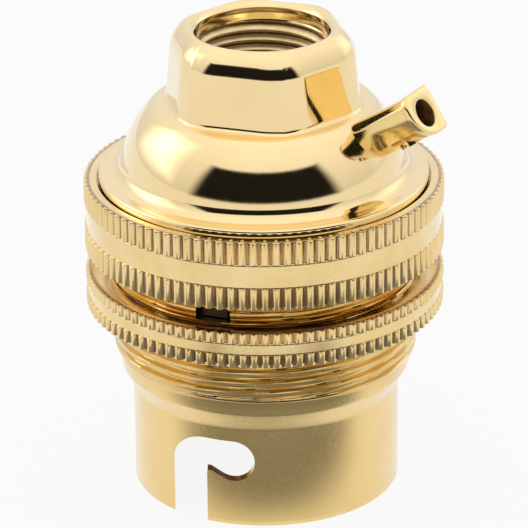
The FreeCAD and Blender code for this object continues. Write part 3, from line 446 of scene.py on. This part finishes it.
def build_pillar():
    """The earth pillar with its collar, wire hole, screw hole and riveted spigot."""
    bar, collar = pillar_outline(0.0), pillar_outline(COLLAR)
    direction = np.arctan2(bar[:, 1], bar[:, 0])
    circle = np.stack([np.cos(direction), np.sin(direction)], axis=1)
    top = PILLAR_LENGTH
    rows = [(0.001 * circle, top - WIRE_DEPTH), (WIRE_R * circle, top - WIRE_DEPTH),
            (WIRE_R * circle, top - 0.12), ((WIRE_R + 0.04) * circle, top - 0.04),
            ((WIRE_R + 0.12) * circle, top)]
    for t in np.radians(np.linspace(90, 0, 6)):
        rows.append((pillar_outline(COLLAR - PILLAR_EDGE * (1 - math.cos(t))),
                     top - PILLAR_EDGE * (1 - math.sin(t))))
    rows += [(collar, top - 0.50), (pillar_outline(0.08), top - 0.55), (bar, top - 0.57),
             (bar, top - 0.65), (bar, 2.0), (bar, -PILLAR_SUNK), (SPIGOT_R * circle, -PILLAR_SUNK),
             (SPIGOT_R * circle, -SPIGOT_LOW), (RIVET_R * circle, -SPIGOT_LOW),
             (RIVET_R * circle, -RIVET_LOW), (0.001 * circle, -RIVET_LOW)]
    count = len(direction)
    turned = (Matrix.Rotation(rad(PILLAR_AZ), 3, "Z")
              @ Matrix.Rotation(rad(90 - PILLAR_RISE), 3, "X"))
    verts = [(SEAT + turned @ Vector((x, y, z))) * MM for flat, z in rows for x, y in flat]
    faces = [(k * count + i, k * count + (i + 1) % count, (k + 1) * count + (i + 1) % count,
              (k + 1) * count + i) for k in range(len(rows) - 1) for i in range(count)]
    faces += [tuple(range(count)), tuple(range(len(verts) - 1, len(verts) - 1 - count, -1))]
    pillar = outward(mesh_object("earth_post", verts, faces))
    # the screw hole is on the underside
    sides = 48
    ends = [(SCREW_R * math.cos(t), PILLAR_BACK * k, SCREW_PLACE + SCREW_R * math.sin(t))
            for k in (-0.3, -1.6) for t in np.arange(sides) * TURN / sides]
    cut_away(pillar, outward(mesh_object(
        "screw_tool", [(SEAT + turned @ Vector(v)) * MM for v in ends], prism_faces(sides),
        smooth=False)))
    return smooth_by_angle(pillar, 32)


# ---------------------------------------------------------------- materials
def new_material(name):
    material = bpy.data.materials.new(name)
    material.use_nodes = True
    tree = material.node_tree
    tree.nodes.clear()
    out = tree.nodes.new("ShaderNodeOutputMaterial")
    shader = tree.nodes.new("ShaderNodeBsdfPrincipled")
    tree.links.new(shader.outputs[0], out.inputs["Surface"])
    return material, tree, shader


def lacquered(name, roughness):
    """A new metal under the clear lacquer that keeps brass bright."""
    material, tree, shader = new_material(name)
    shader.inputs["Metallic"].default_value = 1.0
    shader.inputs["Coat Weight"].default_value = 1.0
    shader.inputs["Coat Roughness"].default_value = roughness
    return material, tree, shader


def coords(tree, stretch=(1, 1, 1)):
    where = tree.nodes.new("ShaderNodeTexCoord")
    mapping = tree.nodes.new("ShaderNodeMapping")
    mapping.inputs["Scale"].default_value = stretch
    tree.links.new(where.outputs["Object"], mapping.inputs["Vector"])
    return mapping.outputs["Vector"]


def noise(tree, vector, scale, detail=3.0, rough=0.5):
    node = tree.nodes.new("ShaderNodeTexNoise")
    node.inputs["Scale"].default_value = scale
    node.inputs["Detail"].default_value = detail
    node.inputs["Roughness"].default_value = rough
    tree.links.new(vector, node.inputs["Vector"])
    return node.outputs["Fac"]


def remap(tree, value, low, high, start=0.3, stop=0.7):
    node = tree.nodes.new("ShaderNodeMapRange")
    node.inputs["From Min"].default_value = start
    node.inputs["From Max"].default_value = stop
    node.inputs["To Min"].default_value = low
    node.inputs["To Max"].default_value = high
    tree.links.new(value, node.inputs["Value"])
    return node.outputs["Result"]


def two_colours(tree, value, first, second, start=0.35, stop=0.65):
    ramp = tree.nodes.new("ShaderNodeValToRGB")
    ramp.color_ramp.elements[0].position = start
    ramp.color_ramp.elements[1].position = stop
    ramp.color_ramp.elements[0].color = (*first, 1)
    ramp.color_ramp.elements[1].color = (*second, 1)
    tree.links.new(value, ramp.inputs["Fac"])
    return ramp.outputs["Color"]


def bump(tree, shader, height, strength, distance):
    node = tree.nodes.new("ShaderNodeBump")
    node.inputs["Strength"].default_value = strength
    node.inputs["Distance"].default_value = distance
    tree.links.new(height, node.inputs["Height"])
    tree.links.new(node.outputs["Normal"], shader.inputs["Normal"])


def metal(name, light, dark, rough, grain, grain_depth):
    """A metal with slow colour drift, fine grain in its roughness and a very shallow relief."""
    material, tree, shader = new_material(name)
    shader.inputs["Metallic"].default_value = 1.0
    vector = coords(tree)
    colour = two_colours(tree, noise(tree, vector, 180.0, 2.0), dark, light)
    tree.links.new(colour, shader.inputs["Base Color"])
    fine = noise(tree, vector, grain, 4.0, 0.6)
    tree.links.new(remap(tree, fine, rough[0], rough[1]), shader.inputs["Roughness"])
    bump(tree, shader, fine, 1.0, grain_depth)
    return material


def blend(tree, kind, share, first, second):
    """Mix two colours or two numbers by a share."""
    node = tree.nodes.new("ShaderNodeMix")
    node.data_type = kind
    tree.links.new(share, node.inputs["Factor"])
    socket = [item for item in node.inputs if item.name in "AB" and item.enabled]
    tree.links.new(first, socket[0])
    tree.links.new(second, socket[1])
    return next(item for item in node.outputs if item.enabled)


def calculate(tree, operation, first, second):
    node = tree.nodes.new("ShaderNodeMath")
    node.operation = operation
    tree.links.new(first, node.inputs[0])
    tree.links.new(second, node.inputs[1])
    return node.outputs[0]


def mix_shaders(tree, share, first, second):
    """Mix two shaders by a number or by another node's output."""
    node = tree.nodes.new("ShaderNodeMixShader")
    if isinstance(share, float):
        node.inputs[0].default_value = share
    else:
        tree.links.new(share, node.inputs[0])
    tree.links.new(first, node.inputs[1])
    tree.links.new(second, node.inputs[2])
    return node.outputs[0]


def from_axis(tree):
    """Distance from the lamp holder's axis."""
    length = tree.nodes.new("ShaderNodeVectorMath")
    length.operation = "LENGTH"
    tree.links.new(coords(tree, (1, 1, 0)), length.inputs[0])
    return length.outputs["Value"]


def height_of(tree):
    parts = tree.nodes.new("ShaderNodeSeparateXYZ")
    tree.links.new(coords(tree), parts.inputs[0])
    return parts.outputs["Z"]


def cap_metal(name):
    """Polished outside; the threaded entry is duller, with painted light and shade: pale crests and
    dark brown roots.
    """
    material, tree, shader = lacquered(name, 0.05)
    vector = coords(tree)
    radius = from_axis(tree)
    within = remap(tree, radius, 1.0, 0.0, (ENTRY_R - 0.05) * MM, (ENTRY_R + 0.10) * MM)
    below = remap(tree, height_of(tree), 1.0, 0.0, (THREAD_TOP - 0.3) * MM, THREAD_TOP * MM)
    inside = calculate(tree, "MULTIPLY", within, below)
    drift = two_colours(tree, noise(tree, vector, 120.0, 2.0), (0.88, 0.67, 0.33),
                        (0.91, 0.70, 0.36))
    crest = two_colours(tree, noise(tree, vector, 900.0, 3.0), (0.78, 0.58, 0.27),
                        (0.88, 0.69, 0.38))
    # painted shade in the thread's roots and painted highlight on its crests, chosen by radius
    root_shade = two_colours(tree, noise(tree, vector, 700.0, 3.0), (0.20, 0.12, 0.04),
                       (0.32, 0.20, 0.07))
    thread_light_and_shade = blend(tree, "RGBA", remap(tree, radius, 0.0, 1.0, (ENTRY_R - 0.34) * MM,
                                     (ENTRY_R - 0.16) * MM), crest, root_shade)
    tree.links.new(blend(tree, "RGBA", inside, drift, thread_light_and_shade), shader.inputs["Base Color"])
    fine = noise(tree, vector, 1500.0, 4.0, 0.6)
    tree.links.new(blend(tree, "FLOAT", inside, remap(tree, fine, 0.05, 0.09),
                         remap(tree, fine, 0.38, 0.52)), shader.inputs["Roughness"])
    bump(tree, shader, fine, 1.0, 0.0000012)
    return material


def shell_metal(name):
    """Satin barrel below, shinier and browner screw thread above."""
    material, tree, shader = lacquered(name, 0.25)
    vector = coords(tree)
    threaded = remap(tree, height_of(tree), 0.0, 1.0, 12.0 * MM, 13.4 * MM)
    barrel = two_colours(tree, noise(tree, vector, 180.0, 2.0), (0.85, 0.60, 0.22),
                         (0.89, 0.65, 0.26))
    thread = two_colours(tree, noise(tree, vector, 260.0, 2.0), (0.72, 0.48, 0.15),
                         (0.80, 0.56, 0.21))
    tree.links.new(blend(tree, "RGBA", threaded, barrel, thread), shader.inputs["Base Color"])
    fine = noise(tree, vector, 3600.0, 4.0, 0.6)
    tree.links.new(blend(tree, "FLOAT", threaded, remap(tree, fine, 0.20, 0.34),
                         remap(tree, fine, 0.10, 0.18)), shader.inputs["Roughness"])
    bump(tree, shader, fine, 1.0, 0.000006)
    return material


def ring_metal(name):
    """Satin brass with painted shade, dark brown, at the bottom of the knurl's grooves, told by
    radius.
    """
    material, tree, shader = lacquered(name, 0.15)
    vector = coords(tree)
    radius = from_axis(tree)
    groove = remap(tree, radius, 1.0, 0.0, (RING_ROOT + 0.02) * MM, (RING_BAND - 0.01) * MM)
    outer = remap(tree, radius, 0.0, 1.0, (RING_ROOT - 0.20) * MM, (RING_ROOT - 0.18) * MM)
    groove_shade = calculate(tree, "MULTIPLY", groove, outer)
    drift = two_colours(tree, noise(tree, vector, 300.0, 2.0), (0.83, 0.60, 0.24),
                        (0.89, 0.67, 0.31))
    # painted shade: the knurl's grooves are coloured dark brown
    painted_shade_brown = two_colours(tree, noise(tree, vector, 900.0, 2.0), (0.34, 0.21, 0.08),
                        (0.46, 0.30, 0.13))
    tree.links.new(blend(tree, "RGBA", groove_shade, drift, painted_shade_brown), shader.inputs["Base Color"])
    fine = noise(tree, vector, 3600.0, 4.0, 0.6)
    tree.links.new(remap(tree, fine, 0.12, 0.24), shader.inputs["Roughness"])
    bump(tree, shader, fine, 1.0, 0.000003)
    return material


def pillar_metal(name):
    """Bright brass with painted shade inside the wire hole, dark brown and dull there, told by
    distance to its axis.
    """
    material, tree, shader = lacquered(name, 0.10)
    vector = coords(tree)
    last = vector
    for kind, value in (("SUBTRACT", SEAT * MM), ("CROSS_PRODUCT", PILLAR_AXIS), ("LENGTH", None)):
        node = tree.nodes.new("ShaderNodeVectorMath")
        node.operation = kind
        tree.links.new(last, node.inputs[0])
        if value is not None:
            node.inputs[1].default_value = value
        last = node.outputs["Value" if kind == "LENGTH" else "Vector"]
    hole = remap(tree, last, 1.0, 0.0, (WIRE_R + 0.01) * MM, (WIRE_R + 0.05) * MM)
    bright = two_colours(tree, noise(tree, vector, 180.0, 2.0), (0.84, 0.61, 0.24),
                         (0.89, 0.67, 0.29))
    # painted shade: the inside of the wire hole is coloured dark brown
    painted_shade_brown = two_colours(tree, noise(tree, vector, 900.0, 2.0), (0.20, 0.11, 0.03),
                        (0.36, 0.22, 0.07))
    tree.links.new(blend(tree, "RGBA", hole, bright, painted_shade_brown), shader.inputs["Base Color"])
    fine = noise(tree, vector, 1800.0, 4.0, 0.6)
    tree.links.new(blend(tree, "FLOAT", hole, remap(tree, fine, 0.10, 0.17),
                         remap(tree, fine, 0.40, 0.55)), shader.inputs["Roughness"])
    bump(tree, shader, fine, 1.0, 0.000003)
    return material


def insulator(name):
    material, tree, shader = new_material(name)
    vector = coords(tree)
    speck = noise(tree, vector, 900.0, 3.0)
    tree.links.new(two_colours(tree, speck, (0.040, 0.020, 0.009), (0.065, 0.036, 0.016)),
                   shader.inputs["Base Color"])
    tree.links.new(remap(tree, speck, 0.38, 0.55), shader.inputs["Roughness"])
    bump(tree, shader, speck, 0.3, 0.00003)
    return material


MATERIALS = {
    "shell_brass": shell_metal("satin_brass"),
    "ring_brass": ring_metal("ring_brass"),
    "cap_brass": cap_metal("polished_brass"),
    "pillar_brass": pillar_metal("bright_brass"),
    "terminal_brass": metal("terminal_brass", (0.86, 0.62, 0.27), (0.80, 0.55, 0.22),
                            (0.22, 0.36), 1800.0, 0.000008),
    "contact_brass": metal("contact_brass", (0.88, 0.66, 0.31), (0.82, 0.58, 0.25),
                           (0.12, 0.24), 1800.0, 0.000006),
    "fixing_steel": metal("plated_steel", (0.62, 0.62, 0.60), (0.52, 0.52, 0.51), (0.24, 0.38),
                          1600.0, 0.000008),
    "spring_steel": metal("spring_wire", (0.56, 0.56, 0.57), (0.46, 0.46, 0.47), (0.22, 0.34),
                          2400.0, 0.000004),
    "insulator": insulator("moulded_insulator"),
}


SLOT_OF = {part["node"]: part["material_slot"] for part in frame["record"]["subparts"]}


def finish_piece(obj, body, slot_name, *stands_for):
    obj.data.materials.clear()
    obj.data.materials.append(MATERIALS[slot_name])
    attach(obj, body)
    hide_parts(*stands_for)


# ---------------------------------------------------------------- the object
finish_piece(build_cap(), "cap", "cap_brass", "cap_dome")
finish_piece(build_shell(), "shell", "shell_brass", "barrel_shell")
finish_piece(
    build_ring("shade_clamp_ring", SHADE_LOW, SHADE_LOW + 1.25, SHADE_TOP - 1.13, SHADE_TOP,
               [(RING_ROOT - 0.35, SHADE_TOP), (RING_ROOT - 0.42, SHADE_TOP - 0.03),
                (RING_BORE + 0.06, SHADE_TOP - 0.53), (RING_BORE, SHADE_TOP - 0.58)]),
    "shade_ring", "ring_brass", "shade_ring")
finish_piece(
    build_ring("cap_clamp_ring", UNION_LOW, UNION_LOW + 2.2, UNION_TOP - 2.22, UNION_TOP,
               [(UNION_MOUTH + 0.10, UNION_TOP), (UNION_MOUTH, UNION_TOP - 0.09),
                (UNION_MOUTH, GROOVE_TOP), (GROOVE_R, GROOVE_TOP), (GROOVE_R, GROOVE_LOW),
                (RING_BORE, GROOVE_LOW)]),
    "cap_ring", "ring_brass", "union_ring")
finish_piece(build_pillar(), "cap", "pillar_brass", "earth_pillar")

for name, node in nodes.items():
    slot_name = SLOT_OF[name]
    for index in range(max(1, len(node.data.materials))):
        if index < len(node.data.materials):
            node.data.materials[index] = MATERIALS[slot_name]
        else:
            node.data.materials.append(MATERIALS[slot_name])


# ---------------------------------------------------------------- stage, light and camera
FLOOR_HALF, FLOOR_GREY = 1.5, 0.80     # half width in metres, and the diffuse colour
FLOOR_WHITE = 0.90                     # share of plain white where the floor is seen
TENT_SIDE, TENT_TOP = 0.8, 1.2         # the world's strength at the horizon and overhead
CARD_CENTRE, CARD_LIFT = 0.03, 0.0004  # height of the patches' centre, and of a card on the table
WHITE = (1, 1, 1, 1)


def card(name, across, up, place, strength, soft):
    """A grid of light or dark that fades out towards its edges and shows only in reflections."""
    verts, fade = [], []
    for j in range(up + 1):
        for i in range(across + 1):
            u, v = i / across, j / up
            verts.append(place(u, v))
            edge = min(1.0, min(u, 1 - u, v, 1 - v) / soft)
            fade.append(edge * edge * (3 - 2 * edge))
    corners = [j * (across + 1) + i for j in range(up) for i in range(across)]
    faces = [(k, k + 1, k + across + 2, k + across + 1) for k in corners]
    obj = mesh_object(name, verts, faces)
    layer = obj.data.attributes.new("fade", "FLOAT", "POINT")
    layer.data.foreach_set("value", fade)
    material, tree, shader = new_material(name)
    tree.nodes.remove(shader)
    light = tree.nodes.new("ShaderNodeEmission")
    light.inputs["Color"].default_value = WHITE
    light.inputs["Strength"].default_value = strength
    clear = tree.nodes.new("ShaderNodeBsdfTransparent")
    level = tree.nodes.new("ShaderNodeAttribute")
    level.attribute_name = "fade"
    show(tree, mix_shaders(tree, level.outputs["Fac"], clear.outputs[0], light.outputs[0]))
    obj.data.materials.append(material)
    obj.visible_camera = False
    obj.visible_diffuse = False
    obj.visible_shadow = False


def show(tree, shader):
    """Join a shader to the material's or the world's output."""
    out = next(node for node in tree.nodes if node.type in ("OUTPUT_MATERIAL", "OUTPUT_WORLD"))
    tree.links.new(shader, out.inputs["Surface"])


def patch(name, reach, centre, half, elevation, strength, soft):
    """A patch of a sphere round the object, with one half width at its foot and one at its top."""
    def place(u, v):
        e = rad(elevation[0] + (elevation[1] - elevation[0]) * v)
        a = rad(centre + (half[0] + (half[1] - half[0]) * v) * (2 * u - 1))
        return (reach * math.cos(e) * math.sin(a), -reach * math.cos(e) * math.cos(a),
                CARD_CENTRE + reach * math.sin(e))

    card(name, 60, 40, place, strength, soft)


def table_card(name, x, y, strength, soft):
    """A grey sheet on the table, seen only in reflections, that paints shade on the floor near the
    object.
    """
    def place(u, v):
        return x[0] + (x[1] - x[0]) * u, y[0] + (y[1] - y[0]) * v, CARD_LIFT

    card(name, 40, 40, place, strength, soft)


def build_floor():
    """A white floor: seen directly or in a reflection it is mostly white, with a pale shadow."""
    h = FLOOR_HALF
    obj = mesh_object("floor", [(-h, -h, 0), (h, -h, 0), (h, h, 0), (-h, h, 0)], [(0, 1, 2, 3)],
                      smooth=False)
    material, tree, shader = new_material("floor")
    tree.nodes.remove(shader)
    lit = tree.nodes.new("ShaderNodeBsdfDiffuse")
    lit.inputs["Color"].default_value = (FLOOR_GREY, FLOOR_GREY, FLOOR_GREY, 1)
    white = tree.nodes.new("ShaderNodeEmission")
    white.inputs["Strength"].default_value = 1.0
    path = tree.nodes.new("ShaderNodeLightPath")
    seen = calculate(tree, "MAXIMUM", path.outputs["Is Camera Ray"], path.outputs["Is Glossy Ray"])
    seen = calculate(tree, "MAXIMUM", seen, path.outputs["Is Transmission Ray"])
    paper = mix_shaders(tree, FLOOR_WHITE, lit.outputs[0], white.outputs[0])
    show(tree, mix_shaders(tree, seen, lit.outputs[0], paper))
    obj.data.materials.append(material)


def build_world():
    """Plain white to the camera; reflections see a tent that is brighter overhead."""
    world = bpy.data.worlds.new("studio")
    scene.world = world
    world.use_nodes = True
    tree = world.node_tree
    tree.nodes.clear()
    tree.nodes.new("ShaderNodeOutputWorld")
    seen, plain, lit = [tree.nodes.new("ShaderNodeBackground") for _ in range(3)]
    for node, strength in ((seen, 1.0), (plain, TENT_SIDE), (lit, TENT_SIDE)):
        node.inputs["Color"].default_value = WHITE
        node.inputs["Strength"].default_value = strength
    where = tree.nodes.new("ShaderNodeTexCoord")
    parts = tree.nodes.new("ShaderNodeSeparateXYZ")
    tree.links.new(where.outputs["Generated"], parts.inputs[0])
    tree.links.new(remap(tree, parts.outputs["Z"], TENT_SIDE, TENT_TOP, 0.0, 1.0),
                   lit.inputs["Strength"])
    path = tree.nodes.new("ShaderNodeLightPath")
    tent = mix_shaders(tree, path.outputs["Is Glossy Ray"], plain.outputs[0], lit.outputs[0])
    show(tree, mix_shaders(tree, path.outputs["Is Camera Ray"], tent, seen.outputs[0]))


build_floor()
build_world()
patch("tent_opening", 0.30, 1.0, (66, 54), (-3.0, 38.0), 0.012, 0.09)
patch("left_lamp", 0.45, -104, (33, 33), (-2, 54), 2.4, 0.5)
patch("right_lamp", 0.45, 122, (28, 28), (-4, 50), 1.4, 0.5)
# painted shade: a grey sheet, seen only in reflections, darkens the floor in front of the object
table_card("floor_shade_card", (-0.038, 0.042), (-0.057, -0.009), 0.26, 0.22)

data = bpy.data.cameras.new("camera")
camera = bpy.data.objects.new("camera", data)
scene.collection.objects.link(camera)
scene.camera = camera
data.sensor_width = 36.0
data.lens = 271.27
data.clip_start, data.clip_end = 0.01, 10.0
camera.location = (0.0, -0.339, 0.16812)
pan, tilt, roll = 0.0002, 0.4096, -0.0107
camera.rotation_euler = (Matrix.Rotation(pan, 3, "Z") @ Matrix.Rotation(rad(90) - tilt, 3, "X")
                         @ Matrix.Rotation(roll, 3, "Z")).to_euler()

scene.view_settings.view_transform = "Standard"
